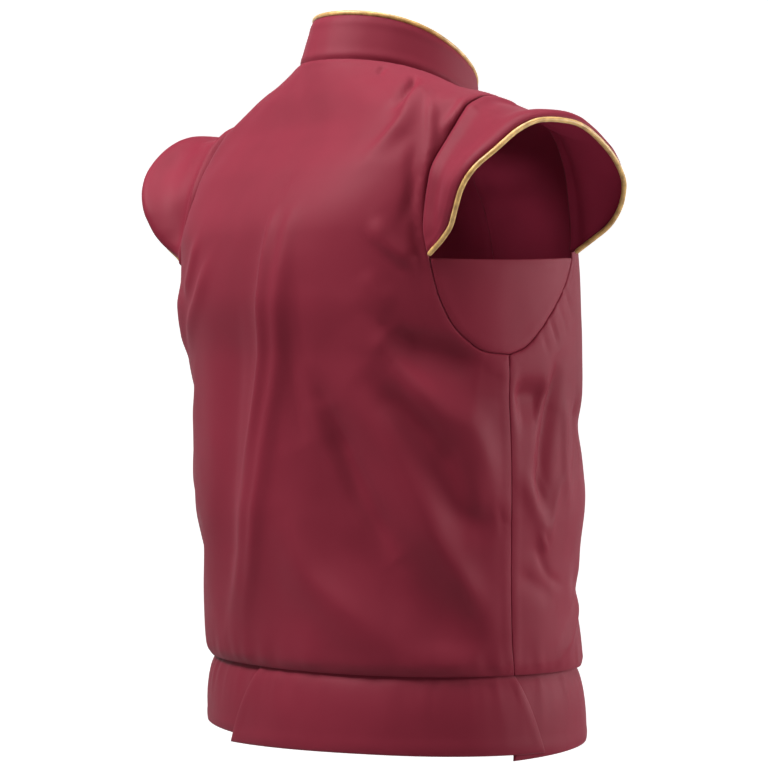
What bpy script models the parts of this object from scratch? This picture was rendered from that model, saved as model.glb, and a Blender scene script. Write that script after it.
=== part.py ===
# Doublet worn with nobody in it: metres, +Z up, the front towards -Y, the wearer's left at +X.
# The origin is midway between the two points where the neck seam meets the shoulder seams.

import math

import bpy
import numpy as np
from mathutils import Vector
from mathutils.geometry import delaunay_2d_cdt

WALL = 0.0016  # outer cloth, canvas and lining together
SEAM_GAP = 0.0006
LAYER = WALL + 0.0006  # how far one piece lies over another
PANEL_GRID = 0.0175
SEAM_STEP = 0.010
SIDE_SEAM = 85.0  # degrees round from the centre back, as all angles here
SHOULDER_SEAM = 94.0
FRONT_EDGE = 184.5
LAP_START, LAP_FULL = 168.0, 174.0
ROUND = 0.165  # metres of cloth to a radian, for laying panels out flat
CURVE_STEPS = 24  # between two points of a smooth curve
LEAN_FLOOR = 0.5  # a sharp corner of an outline moves inwards no farther than one of this cosine
GRID_CLEAR = 0.55  # share of the grid's spacing kept free along an outline
PIPING_RADIUS = 0.0020
PIPING_GAP = 0.0008

# Rings from the waist seam up to the neck seam. t is the length up the cloth.
RING_COLUMNS = (
    "t", "z_side", "z_back", "z_front", "half_width", "y_back", "y_front", "square_back", "square_front", "y_side", "tilt",
)
RINGS = (
    (0.000, -0.457, -0.457, -0.457, 0.1750, 0.1279, -0.1239, 2.15, 2.15, 0.0020, 0.000),
    (0.012, -0.446, -0.446, -0.446, 0.1785, 0.1325, -0.1225, 2.15, 2.15, 0.0050, 0.000),
    (0.046, -0.411, -0.411, -0.411, 0.1790, 0.1345, -0.1190, 2.15, 2.15, 0.0070, 0.000),
    (0.084, -0.373, -0.373, -0.373, 0.1800, 0.1370, -0.1200, 2.15, 2.15, 0.0080, 0.000),
    (0.123, -0.334, -0.334, -0.334, 0.1820, 0.1410, -0.1220, 2.20, 2.20, 0.0090, 0.000),
    (0.162, -0.295, -0.295, -0.295, 0.1825, 0.1420, -0.1205, 2.20, 2.20, 0.0100, 0.000),
    (0.237, -0.220, -0.220, -0.220, 0.1840, 0.1440, -0.1180, 2.25, 2.25, 0.0130, 0.000),
    (0.286, -0.171, -0.171, -0.171, 0.1850, 0.1510, -0.1150, 2.30, 2.30, 0.0165, 0.000),
    (0.332, -0.125, -0.125, -0.130, 0.1835, 0.1470, -0.1090, 2.60, 2.40, 0.0180, 0.000),
    (0.379, -0.078, -0.078, -0.092, 0.1830, 0.1280, -0.0990, 3.00, 2.60, 0.0200, 0.000),
    (0.409, -0.051, -0.053, -0.074, 0.1800, 0.1110, -0.0910, 3.20, 2.60, 0.0200, 0.000),
    (0.440, -0.0255, -0.036, -0.060, 0.1670, 0.1000, -0.0850, 3.20, 2.60, 0.0180, 0.003),
    (0.480, -0.0145, -0.013, -0.050, 0.1300, 0.0915, -0.0790, 2.80, 2.40, 0.0120, 0.009),
    (0.512, -0.0080, 0.002, -0.043, 0.0960, 0.0845, -0.0730, 2.40, 2.20, 0.0070, 0.018),
    (0.540, 0.000, 0.016, -0.038, 0.0700, 0.0780, -0.0680, 2.00, 2.00, 0.0040, 0.026),
)
NECK = RINGS[-1][0]
COLLAR_TOP = {
    "z_side": 0.0315, "z_back": 0.0515, "z_front": -0.0045, "half_width": 0.0640, "y_back": 0.0665, "y_front": -0.0670,
    "square_back": 2.0, "square_front": 2.0, "y_side": 0.0, "tilt": 0.032,
}
COLLAR_ROUND, COLLAR_UP = 53, 4
COLLAR_END, PIPING_END = 179.7, 179.0
COLLAR_FOOT = 0.012
COLLAR_BULGE = 0.0005
COLLAR_RISE_FROM = 0.9  # how far up the collar the way that its piping stands is read
BODY_MIDDLE = 0.01  # y of the upright line that the body goes round
HEM = {
    "z_side": -0.5150, "z_back": -0.5153, "z_front": -0.5150, "half_width": 0.1785, "y_back": 0.1300, "y_front": -0.1280,
    "square_back": 2.15, "square_front": 2.15, "y_side": 0.002, "tilt": 0.0,
}

# The armhole of the right side, (degrees, t), from the side seam round by the back.
ARMHOLE = (
    (85.0, 0.2408), (76.1, 0.2430), (71.4, 0.2500), (67.1, 0.2605), (64.5, 0.2735), (62.3, 0.2900), (60.2, 0.3120),
    (58.3, 0.3350), (57.1, 0.3615), (56.7, 0.3790), (57.9, 0.3940), (60.8, 0.4115), (66.5, 0.4290), (75.0, 0.4450),
    (85.0, 0.4560), (94.0, 0.4580), (103.0, 0.4530), (111.0, 0.4400), (117.0, 0.4190), (120.0, 0.3920),
    (120.6, 0.3650), (120.5, 0.3400), (120.0, 0.3165), (113.4, 0.2950), (106.1, 0.2765), (98.5, 0.2590), (91.9, 0.2465),
)
BACK_CORNER, ARMHOLE_TOP, FRONT_CORNER = 6, 15, 22  # rows of the table above
INSET_SAG = 0.002

# Outer line of the piping round a sleeve cap, back corner to front corner: its distance from the middle of the
# body, y, z, and how much higher and how much nearer the middle the left one lies.
CAP_EDGE = (
    (0.1745, 0.0930, -0.1438, 0.0000, 0.0000),
    (0.1890, 0.0914, -0.1345, 0.0000, 0.0000),
    (0.2040, 0.0938, -0.1248, 0.0000, 0.0005),
    (0.2150, 0.0980, -0.1137, 0.0004, 0.0015),
    (0.2270, 0.1004, -0.0964, 0.0011, 0.0025),
    (0.2380, 0.0968, -0.0822, 0.0029, 0.0035),
    (0.2480, 0.0850, -0.0690, 0.0055, 0.0047),
    (0.2510, 0.0667, -0.0545, 0.0066, 0.0057),
    (0.2520, 0.0482, -0.0464, 0.0070, 0.0060),
    (0.2520, 0.0259, -0.0451, 0.0070, 0.0060),
    (0.2500, 0.0059, -0.0478, 0.0063, 0.0054),
    (0.2450, -0.0141, -0.0560, 0.0044, 0.0038),
    (0.2400, -0.0333, -0.0691, 0.0018, 0.0016),
    (0.2320, -0.0488, -0.0815, 0.0004, 0.0003),
    (0.2250, -0.0566, -0.0916, 0.0000, 0.0000),
    (0.2150, -0.0607, -0.1059, 0.0000, 0.0000),
    (0.2000, -0.0622, -0.1186, 0.0000, 0.0000),
    (0.1850, -0.0580, -0.1285, 0.0000, 0.0000),
    (0.1715, -0.0505, -0.1385, 0.0000, 0.0000),
)
CAP_ROUND = 36
CAP_SHARES = (0.0, 0.25, 0.5, 0.7, 0.85, 0.94, 1.0)  # rows of points from its seam to its edge
CAP_SAG = {1: 0.0020, -1: 0.0}  # of the right and the left cap halfway out
CAP_BULGE = {1: (0.0050, 0.010, 0.020), -1: (0.0120, 0.006, 0.015)}  # height, how far from the edge, half its width
CAP_BULGE_SOFT = 0.003
CAP_FULL_REACH = 0.06  # a cap sags and bulges fully where it reaches out this far
CAP_MIDDLE = (-0.2, 0.015, -0.12)  # a point under the right cap
CAP_SEAM_STEP, CAP_FINE = 0.002, 400  # spacing and number of points along its seam before they are thinned
CAP_FREE_END = 0.022  # share of the seam left free at each corner
CAP_GAP = 0.0008  # from the armhole seam to the foot of the cap

# Largest folds: three points along each, (degrees, t), its height, and half of its width.
FOLD_COLUMNS = ("start", "start_t", "middle", "middle_t", "end", "end_t", "height", "spread")
FOLDS = (
    (14.5, 0.350, 8.0, 0.200, -11.0, 0.029, 0.0060, 0.018),
    (29.3, 0.204, 36.6, 0.142, 47.8, 0.087, -0.0071, 0.014),
    (22.5, 0.173, 46.5, 0.072, 72.4, 0.017, -0.0070, 0.027),
    (15.5, 0.121, 33.3, 0.049, 46.7, 0.020, 0.0041, 0.018),
    (38.6, 0.216, 55.7, 0.129, 73.9, 0.048, 0.0055, 0.014),
    (42.4, 0.235, 62.4, 0.158, 79.6, 0.117, -0.0055, 0.013),
    (39.6, 0.270, 62.2, 0.195, 77.6, 0.138, 0.0059, 0.021),
    (48.9, 0.258, 60.6, 0.242, 74.3, 0.231, -0.0093, 0.015),
    (59.6, 0.480, 43.3, 0.420, 37.8, 0.392, 0.0052, 0.008),
    (-4.2, 0.318, -0.3, 0.244, -7.1, 0.199, -0.0030, 0.023),
    (-28.0, 0.497, -27.4, 0.423, -32.0, 0.356, -0.0015, 0.017),
    (-48.0, 0.500, -48.0, 0.410, -45.0, 0.330, -0.0120, 0.034),
    (107.7, 0.235, 99.1, 0.176, 98.2, 0.123, -0.0070, 0.009),
    (121.8, 0.208, 117.3, 0.151, 119.0, 0.138, -0.0026, 0.009),
    (86.6, 0.210, 96.9, 0.210, 101.4, 0.206, -0.0080, 0.015),
    (104.1, 0.003, 122.8, 0.047, 130.6, 0.060, 0.0048, 0.009),
    (88.2, 0.153, 95.6, 0.126, 102.3, 0.098, 0.0030, 0.010),
    (-36.0, 0.300, -40.0, 0.270, -44.0, 0.242, 0.0040, 0.014),
    (-34.0, 0.230, -44.0, 0.208, -60.0, 0.190, -0.0035, 0.012),
    (-46.0, 0.170, -56.0, 0.125, -74.0, 0.090, 0.0040, 0.014),
    (-30.0, 0.120, -46.0, 0.070, -70.0, 0.040, -0.0035, 0.013),
    (-49.0, 0.258, -58.0, 0.243, -76.0, 0.231, -0.0050, 0.013),
    (-52.0, 0.236, -64.0, 0.198, -79.0, 0.160, 0.0034, 0.014),
    (-55.0, 0.205, -66.0, 0.148, -80.0, 0.118, -0.0032, 0.012),
    (-50.0, 0.080, -64.0, 0.038, -78.0, 0.020, -0.0040, 0.017),
    (118.2, 0.192, 128.0, 0.195, 146.0, 0.198, -0.0045, 0.011),
    (118.0, 0.070, 132.0, 0.055, 150.0, 0.048, -0.0045, 0.011),
    (120.0, 0.120, 134.0, 0.135, 152.0, 0.150, 0.0035, 0.016),
    (150.0, 0.340, 155.0, 0.280, 158.0, 0.210, 0.0025, 0.014),
    (-108.0, 0.225, -118.0, 0.180, -140.0, 0.150, 0.0035, 0.013),
    (-100.0, 0.110, -122.0, 0.075, -146.0, 0.050, -0.0035, 0.013),
    (-146.0, 0.330, -150.0, 0.260, -152.0, 0.200, 0.0025, 0.014),
)
FOLD_ENDS = (-0.15, 0.3)  # shares of its length over which a fold fades in and out
FOLD_HELD_WAIST, FOLD_HELD_NECK = 0.03, 0.05  # the folds grow over this much cloth from each seam

# Skirt tabs. Angles at the seam; how far each lower corner spreads past them; how much each corner and the
# middle of the hem hang below the ring; how many layers out each end lies.
TAB_COLUMNS = (
    "name", "first", "last", "spread_first", "spread_last", "drop_first", "drop_middle", "drop_last", "over_first", "over_last",
)
TABS = (
    ("peplum_back_right", 0.0, 85.0, 13.0, 11.5, 0.0040, 0.0003, 0.0010, 1, 1),
    ("peplum_back_left", -85.0, 0.0, 10.5, 2.0, 0.0010, -0.0040, -0.0020, 1, 0),
    ("peplum_front_right", 85.0, 183.0, 1.0, 0.0, 0.0057, 0.0010, 0.0010, 0, 0),
    ("peplum_front_left", -183.0, -85.0, 0.0, 1.0, 0.0000, 0.0010, 0.0040, 1, 0),
)
TAB_ROUND = 14
TAB_ROWS = (0.0, 0.11, 0.3, 0.53, 0.77, 1.0)  # the second is at the bodice's edge
TAB_BOW, TAB_BOW_SKEW = 0.0035, 0.7
TAB_FLARE = 0.9  # power of the sideways spread down the tab
TAB_CROSS = (0.25, 0.75)  # where along it a tab goes from under to over
TAB_TUCK = 0.005  # how far the tabs run up behind the edge of the bodice
TAB_LAYER = WALL + 0.0010  # how far one tab lies over another
TAB_CLEAR = 0.0011  # from the bodice to the tab next to it
TAB_INWARD = WALL + TAB_CLEAR + TAB_LAYER  # how far inside the bodice's outer face the innermost tab starts

COLOURS = {
    "suiting": (0.165, 0.0136, 0.0275, 1.0),
    "satin": (0.62, 0.37, 0.12, 1.0),
}


def smooth_through(xs, ys, x):
    """A curve through the points that never overshoots them."""
    xs, ys = np.asarray(xs, float), np.asarray(ys, float)
    steps = np.diff(xs)
    slopes = np.diff(ys) / steps
    turns = np.zeros_like(ys)
    turns[0], turns[-1] = slopes[0], slopes[-1]
    for i in range(1, len(xs) - 1):
        if slopes[i - 1] * slopes[i] > 0:
            before, after = 2 * steps[i] + steps[i - 1], steps[i] + 2 * steps[i - 1]
            turns[i] = (before + after) / (before / slopes[i - 1] + after / slopes[i])
    x = np.clip(x, xs[0], xs[-1])
    i = np.clip(np.searchsorted(xs, x, side="right") - 1, 0, len(xs) - 2)
    s = (x - xs[i]) / steps[i]
    return (
        (1 + 2 * s) * (1 - s) ** 2 * ys[i]
        + s * (1 - s) ** 2 * steps[i] * turns[i]
        + s * s * (3 - 2 * s) * ys[i + 1]
        + s * s * (s - 1) * steps[i] * turns[i + 1]
    )


def ease(x, start, end):
    s = np.clip((x - start) / (end - start), 0.0, 1.0)
    return s * s * (3 - 2 * s)


def ring_point(angle, at):
    """Points of one ring, or of one ring for each angle; angle is in radians."""
    s, c = np.sin(angle), np.cos(angle)
    back = c >= 0
    square = np.where(back, at["square_back"], at["square_front"])
    reach = (np.abs(s) ** square + np.abs(c) ** square) ** (-1 / square)
    x = -at["half_width"] * s * reach
    y = at["y_side"] + np.abs(c) * reach * np.where(back, at["y_back"] - at["y_side"], at["y_front"] - at["y_side"])
    rise = np.where(back, at["z_back"] - at["z_side"] - at["tilt"], at["z_front"] - at["z_side"] + at["tilt"])
    z = at["z_side"] + at["tilt"] * c + rise * c * c
    return np.stack([x, y, z], -1)


def plain_body(degrees, t):
    degrees, t = np.broadcast_arrays(np.asarray(degrees, float), np.asarray(t, float))
    lengths = [row[0] for row in RINGS]
    at = {
        name: smooth_through(lengths, [row[i] for row in RINGS], t)
        for i, name in enumerate(RING_COLUMNS)
        if name != "t"
    }
    return ring_point(np.radians(degrees), at)


def curve_through(points, count):
    """Smooth curve through the points, its own points evenly apart."""
    p = np.asarray(points, float)
    p = np.vstack([2 * p[0] - p[1], p, 2 * p[-1] - p[-2]])
    fine = []
    for i in range(1, len(p) - 2):
        s = np.linspace(0, 1, CURVE_STEPS, endpoint=i == len(p) - 3)[:, None]
        a, b, c, d = p[i - 1], p[i], p[i + 1], p[i + 2]
        fine.append(
            0.5 * (2 * b + (c - a) * s + (2 * a - 5 * b + 4 * c - d) * s**2 + (3 * b - a - 3 * c + d) * s**3)
        )
    fine = np.vstack(fine)
    run = np.concatenate([[0], np.cumsum(np.linalg.norm(np.diff(fine, axis=0), axis=1))])
    want = np.linspace(0, run[-1], count)
    return np.stack([np.interp(want, run, fine[:, k]) for k in range(fine.shape[1])], -1)


def fold_height(degrees, t):
    """How far the folds move the cloth out at each point."""
    q = np.stack(np.broadcast_arrays(np.radians(degrees) * ROUND, t), -1)
    height = np.zeros(q.shape[:-1])
    for row in FOLDS:
        fold = dict(zip(FOLD_COLUMNS, row))
        line = [
            np.array([math.radians(fold[name]) * ROUND, fold[name + "_t"]]) for name in ("start", "middle", "end")
        ]
        near = np.full(height.shape, np.inf)
        along = np.zeros(height.shape)
        for i, (a, b) in enumerate(zip(line, line[1:])):
            s = np.clip(((q - a) @ (b - a)) / ((b - a) @ (b - a)), 0, 1)
            away = np.linalg.norm(q - (a + s[..., None] * (b - a)), axis=-1)
            along = np.where(away < near, (i + s) / 2, along)
            near = np.minimum(near, away)
        fade = ease(along, *FOLD_ENDS) * ease(1 - along, *FOLD_ENDS)
        height += fold["height"] * fade * np.exp(-((near / fold["spread"]) ** 2))
    # The seams at the waist and the neck hold the cloth to its rings.
    return height * ease(t, 0.0, FOLD_HELD_WAIST) * ease(NECK - t, 0.0, FOLD_HELD_NECK)


def body(degrees, t, out=0.0):
    """Points of the body cloth's outer face, with its folds, moved out by a distance."""
    degrees, t = np.broadcast_arrays(np.asarray(degrees, float), np.asarray(t, float))
    turn, small = 0.5, 0.002  # how far apart the slopes are read, in degrees and up the cloth
    across = plain_body(degrees + turn, t) - plain_body(degrees - turn, t)
    low, high = np.clip(t - small, 0, NECK), np.clip(t + small, 0, NECK)
    along = plain_body(degrees, high) - plain_body(degrees, low)
    normal = np.cross(across, along)
    normal /= np.linalg.norm(normal, axis=-1, keepdims=True)
    return plain_body(degrees, t) + normal * (fold_height(degrees, t) + out)[..., None]


def armhole(first, last, spacing=SEAM_STEP):
    """(degrees, t) along the armhole from one row of its table to another, in steps of about this length."""
    rows = [ARMHOLE[i % len(ARMHOLE)] for i in range(first, last + 1)]
    flat = np.array([(math.radians(a) * ROUND, t) for a, t in rows])
    length = np.linalg.norm(np.diff(flat, axis=0), axis=1).sum()
    flat = curve_through(flat, max(3, round(length / spacing) + 1))
    return np.stack([np.degrees(flat[:, 0] / ROUND), flat[:, 1]], -1)


def straight(start, end, spacing):
    length = math.hypot(math.radians(end[0] - start[0]) * ROUND, end[1] - start[1])
    count = max(2, round(length / spacing) + 1)
    return np.linspace(start, end, count)


def inside(points, outline):
    found = np.zeros(len(points), bool)
    for (x0, y0), (x1, y1) in zip(outline, np.roll(outline, -1, axis=0)):
        crosses = (y0 > points[:, 1]) != (y1 > points[:, 1])
        with np.errstate(divide="ignore", invalid="ignore"):
            found ^= crosses & (points[:, 0] < (x1 - x0) * (points[:, 1] - y0) / (y1 - y0) + x0)
    return found


def distance_to(points, outline):
    best = np.full(len(points), np.inf)
    for a, b in zip(outline, np.roll(outline, -1, axis=0)):
        s = np.clip(((points - a) @ (b - a)) / ((b - a) @ (b - a)), 0, 1)
        best = np.minimum(best, np.linalg.norm(points - (a + s[:, None] * (b - a)), axis=1))
    return best


def drawn_in(outline, by):
    """The outline, which runs anticlockwise, moved inwards."""
    before, after = np.roll(outline, 1, axis=0), np.roll(outline, -1, axis=0)
    first = (outline - before) / np.linalg.norm(outline - before, axis=1)[:, None]
    second = (after - outline) / np.linalg.norm(after - outline, axis=1)[:, None]
    normal = np.stack([-(first + second)[:, 1], (first + second)[:, 0]], -1)
    normal /= np.linalg.norm(normal, axis=1)[:, None]
    lean = np.maximum(np.einsum("ij,ij->i", normal, np.stack([-first[:, 1], first[:, 0]], -1)), LEAN_FLOOR)
    return outline + normal * (by / lean)[:, None]


def flat_panel(corners, grid):
    """Triangles over a panel given by its outline, a list of (degrees, t) runs that join end to start."""
    outline = np.vstack([run[:-1] for run in corners])
    outline = np.stack([np.radians(outline[:, 0]) * ROUND, outline[:, 1]], -1)
    if np.sum(outline[:, 0] * np.roll(outline[:, 1], -1) - outline[:, 1] * np.roll(outline[:, 0], -1)) < 0:
        outline = outline[::-1]
    outline = drawn_in(outline, SEAM_GAP / 2)
    low, high = outline.min(axis=0), outline.max(axis=0)
    rows = np.arange(low[1] + grid / 2, high[1], grid * math.sqrt(0.75))
    points = np.array(
        [(x + (j % 2) * grid / 2, y) for j, y in enumerate(rows) for x in np.arange(low[0] - grid, high[0] + grid, grid)]
    )
    points = points[inside(points, outline)]
    points = points[distance_to(points, outline) > grid * GRID_CLEAR]
    everything = np.vstack([outline, points])
    ring = [(i, (i + 1) % len(outline)) for i in range(len(outline))]
    found = delaunay_2d_cdt([Vector(p) for p in everything], ring, [], 1, 1e-7)
    flat = np.array([tuple(v) for v in found[0]])
    return np.degrees(flat[:, 0] / ROUND), flat[:, 1], [tuple(face) for face in found[2]]


def material(slot):
    name = "mat_" + slot
    made = bpy.data.materials.get(name)
    if made is None:
        made = bpy.data.materials.new(name)
        made.use_nodes = True
        shader = made.node_tree.nodes["Principled BSDF"]
        shader.inputs["Base Color"].default_value = COLOURS[slot]
        shader.inputs["Roughness"].default_value = 0.5 if slot == "satin" else 0.75
    return made


def cloth(name, points, faces, collection, facing):
    """A wall of cloth whose outer face is this surface. facing gives the outward side at a point."""
    mesh = bpy.data.meshes.new(name)
    a, b, c = (points[[face[k] for face in faces]] for k in range(3))
    outward = np.array([facing(p) for p in (a + b + c) / 3])
    if np.sum(np.cross(b - a, c - a) * outward) < 0:
        faces = [face[::-1] for face in faces]
    mesh.from_pydata([tuple(p) for p in points], [], [tuple(int(i) for i in face) for face in faces])
    mesh.validate()
    obj = bpy.data.objects.new(name, mesh)
    collection.objects.link(obj)
    mesh.materials.append(material("suiting"))
    wall = obj.modifiers.new("Wall", "SOLIDIFY")
    wall.thickness = WALL
    wall.offset = -1
    wall.use_even_offset = False
    return obj


def from_middle(p):
    return np.array([p[0], p[1] - BODY_MIDDLE, 0.0])


def grid_faces(rows, columns):
    return [
        (i * columns + j, i * columns + j + 1, (i + 1) * columns + j + 1, (i + 1) * columns + j)
        for i in range(rows - 1)
        for j in range(columns - 1)
    ]


def make_back(collection):
    right = np.vstack([armhole(0, BACK_CORNER)[:-1], armhole(BACK_CORNER, ARMHOLE_TOP)])
    left = right[::-1] * (-1, 1)
    runs = [
        straight((-SIDE_SEAM, 0.0), (SIDE_SEAM, 0.0), PANEL_GRID),
        straight((SIDE_SEAM, 0.0), tuple(right[0]), PANEL_GRID),
        right,
        straight(tuple(right[-1]), (SHOULDER_SEAM, NECK), PANEL_GRID),
        straight((SHOULDER_SEAM, NECK), (-SHOULDER_SEAM, NECK), PANEL_GRID),
        straight((-SHOULDER_SEAM, NECK), tuple(left[0]), PANEL_GRID),
        left,
        straight(tuple(left[-1]), (-SIDE_SEAM, 0.0), PANEL_GRID),
    ]
    degrees, t, faces = flat_panel(runs, PANEL_GRID)
    cloth("back", body(degrees, t), faces, collection, from_middle)


def make_front(name, side, collection):
    """side is 1 for the right front and -1 for the left one, which laps over it."""
    hole = np.vstack([armhole(ARMHOLE_TOP, FRONT_CORNER)[:-1], armhole(FRONT_CORNER, len(ARMHOLE))])
    runs = [
        straight((SIDE_SEAM, 0.0), (FRONT_EDGE, 0.0), PANEL_GRID),
        straight((FRONT_EDGE, 0.0), (FRONT_EDGE, NECK), PANEL_GRID),
        straight((FRONT_EDGE, NECK), (SHOULDER_SEAM, NECK), PANEL_GRID),
        straight((SHOULDER_SEAM, NECK), tuple(hole[0]), PANEL_GRID),
        hole,
        straight(tuple(hole[-1]), (SIDE_SEAM, 0.0), PANEL_GRID),
    ]
    degrees, t, faces = flat_panel(runs, PANEL_GRID)
    out = LAYER * ease(degrees, LAP_START, LAP_FULL) * (side < 0)
    cloth(name, body(degrees * side, t, out), faces, collection, from_middle)


def make_inset(name, side, collection):
    low = np.vstack([armhole(FRONT_CORNER, len(ARMHOLE))[:-1], armhole(0, BACK_CORNER)])
    top = straight(tuple(low[-1]), tuple(low[0]), SEAM_STEP)
    share = np.linspace(0, 1, len(top))
    top[:, 1] -= INSET_SAG * 4 * share * (1 - share)
    degrees, t, faces = flat_panel([low, top], SEAM_STEP)
    cloth(name, body(degrees * side, t), faces, collection, from_middle)


def collar_point(degrees, up, out=0.0):
    """up is 0 at the neck seam and 1 at the top edge."""
    angle = np.radians(degrees)
    low, high = plain_body(degrees, NECK), ring_point(angle, COLLAR_TOP)
    up = np.asarray(up)[..., None]
    point = low + (high - low) * up
    outward = np.stack([-np.sin(angle), np.cos(angle), 0 * angle], -1)
    return point + outward * (COLLAR_BULGE * 4 * up * (1 - up) + out)


def make_collar(collection):
    degrees = np.linspace(-COLLAR_END, COLLAR_END, COLLAR_ROUND)
    rows = [collar_point(degrees, np.full(COLLAR_ROUND, up)) for up in np.linspace(COLLAR_FOOT, 1, COLLAR_UP)]
    cloth("collar", np.vstack(rows), grid_faces(COLLAR_UP, COLLAR_ROUND), collection, from_middle)


def piping(name, path, collection):
    """A covered cord along a path of points."""
    curve = bpy.data.curves.new(name, "CURVE")
    curve.dimensions = "3D"
    curve.bevel_depth = PIPING_RADIUS
    curve.bevel_resolution = 2
    curve.use_fill_caps = True
    spline = curve.splines.new("POLY")
    spline.points.add(len(path) - 1)
    for point, place in zip(spline.points, path):
        point.co = (*place, 1.0)
    curve.materials.append(material("satin"))
    obj = bpy.data.objects.new(name, curve)
    collection.objects.link(obj)
    return obj


def make_collar_piping(collection):
    degrees = np.linspace(-PIPING_END, PIPING_END, COLLAR_ROUND)
    top = collar_point(degrees, np.ones(COLLAR_ROUND))
    below = collar_point(degrees, np.full(COLLAR_ROUND, COLLAR_RISE_FROM))
    rise = (top - below) / np.linalg.norm(top - below, axis=1)[:, None]
    angle = np.radians(degrees)
    inward = -np.stack([-np.sin(angle), np.cos(angle), 0 * angle], -1)
    path = top + rise * (PIPING_RADIUS + PIPING_GAP) + inward * WALL / 2
    piping("collar_piping", path, collection)


def cap_curves(side, count):
    """The seam and the edge of a sleeve cap, as rows of points."""
    seam = armhole(BACK_CORNER, FRONT_CORNER, CAP_SEAM_STEP)
    seam = curve_through(np.stack([np.radians(seam[:, 0]) * ROUND, seam[:, 1]], -1), CAP_FINE)
    middle = seam.mean(axis=0)
    seam = seam + (middle - seam) / np.linalg.norm(middle - seam, axis=1)[:, None] * CAP_GAP
    on_body = body(np.degrees(seam[:, 0] / ROUND) * side, seam[:, 1])
    free = int(CAP_FINE * CAP_FREE_END)
    base = curve_through(on_body[free : CAP_FINE - free - 1], count)
    left = side < 0
    edge = np.array([(-side * (row[0] - left * row[4]), row[1], row[2] + left * row[3]) for row in CAP_EDGE])
    edge = curve_through(edge, count)
    reach = edge - base
    return base, edge - reach / np.linalg.norm(reach, axis=1)[:, None] * (2 * PIPING_RADIUS + PIPING_GAP)


def cap_points(side, count):
    base, edge = cap_curves(side, count)
    reach = edge - base
    length = np.linalg.norm(reach, axis=1)[:, None]
    way = np.gradient(base + edge, axis=0)
    out = np.cross(reach, way) * side
    out /= np.linalg.norm(out, axis=1)[:, None]
    full = np.minimum(1, length / CAP_FULL_REACH)
    height, at, spread = CAP_BULGE[side]
    rows = []
    for share in CAP_SHARES:
        to_edge = (1 - share) * length
        bulge = height * np.exp(-(((to_edge - at) / spread) ** 2)) * (1 - np.exp(-to_edge / CAP_BULGE_SOFT))
        sag = CAP_SAG[side] * 4 * share * (1 - share)
        rows.append(base + reach * share + out * full * (bulge - sag))
    return rows


def make_cap(name, piping_name, side, collection):
    rows = cap_points(side, CAP_ROUND)
    way_out = rows[-1] - rows[-2]
    way_out /= np.linalg.norm(way_out, axis=1)[:, None]
    middle = np.array(CAP_MIDDLE) * (side, 1, 1)
    cloth(name, np.vstack(rows), grid_faces(len(CAP_SHARES), CAP_ROUND), collection, lambda p: p - middle)
    edge = rows[-1]
    inward = middle - edge
    inward -= np.einsum("ij,ij->i", inward, way_out)[:, None] * way_out
    inward /= np.linalg.norm(inward, axis=1)[:, None]
    path = edge + way_out * (PIPING_RADIUS + PIPING_GAP) + inward * WALL / 2
    piping(piping_name, path, collection)


def tab_point(tab, along, down):
    """along runs from the first side to the last, down from the seam to the hem."""
    spread = down**TAB_FLARE
    first = tab["first"] - tab["spread_first"] * spread
    last = tab["last"] + tab["spread_last"] * spread
    degrees = first + (last - first) * along
    angle = np.radians(degrees)
    outward = np.stack([-np.sin(angle), np.cos(angle), 0 * angle], -1)
    top = plain_body(degrees, 0.0) - outward * TAB_INWARD
    top[..., 2] += TAB_TUCK
    low = ring_point(angle, HEM)
    drop = smooth_through([0, 0.5, 1], [tab["drop_first"], tab["drop_middle"], tab["drop_last"]], along)
    low[..., 2] -= drop
    point = top + (low - top) * down[..., None]
    layers = tab["over_first"] + (tab["over_last"] - tab["over_first"]) * ease(along, *TAB_CROSS)
    below = np.maximum(down - TAB_ROWS[1], 0) / (1 - TAB_ROWS[1])
    bow = TAB_BOW * np.sin(math.pi * below**TAB_BOW_SKEW)
    return point + outward * (layers * TAB_LAYER + bow)[..., None]


def make_tab(row, collection):
    tab = dict(zip(TAB_COLUMNS, row))
    along, down = np.meshgrid(np.linspace(0, 1, TAB_ROUND), TAB_ROWS)
    points = tab_point(tab, along.ravel(), down.ravel())
    cloth(tab["name"], points, grid_faces(len(TAB_ROWS), TAB_ROUND), collection, from_middle)


def main():
    for obj in list(bpy.data.objects):
        bpy.data.objects.remove(obj, do_unlink=True)
    doublet = bpy.data.collections.new("doublet")
    bpy.context.scene.collection.children.link(doublet)
    make_back(doublet)
    make_front("front_right", 1, doublet)
    make_front("front_left", -1, doublet)
    make_inset("underarm_inset_right", 1, doublet)
    make_inset("underarm_inset_left", -1, doublet)
    make_collar(doublet)
    make_collar_piping(doublet)
    make_cap("sleeve_cap_right", "cap_piping_right", 1, doublet)
    make_cap("sleeve_cap_left", "cap_piping_left", -1, doublet)
    for row in TABS:
        make_tab(row, doublet)


main()
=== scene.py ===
# Doublet worn by nobody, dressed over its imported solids.
# Metres, +Z up, the front towards -Y, the wearer's left at +X.

import math

import bpy
import numpy as np
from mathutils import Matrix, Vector, noise
from mathutils.geometry import delaunay_2d_cdt


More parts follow.
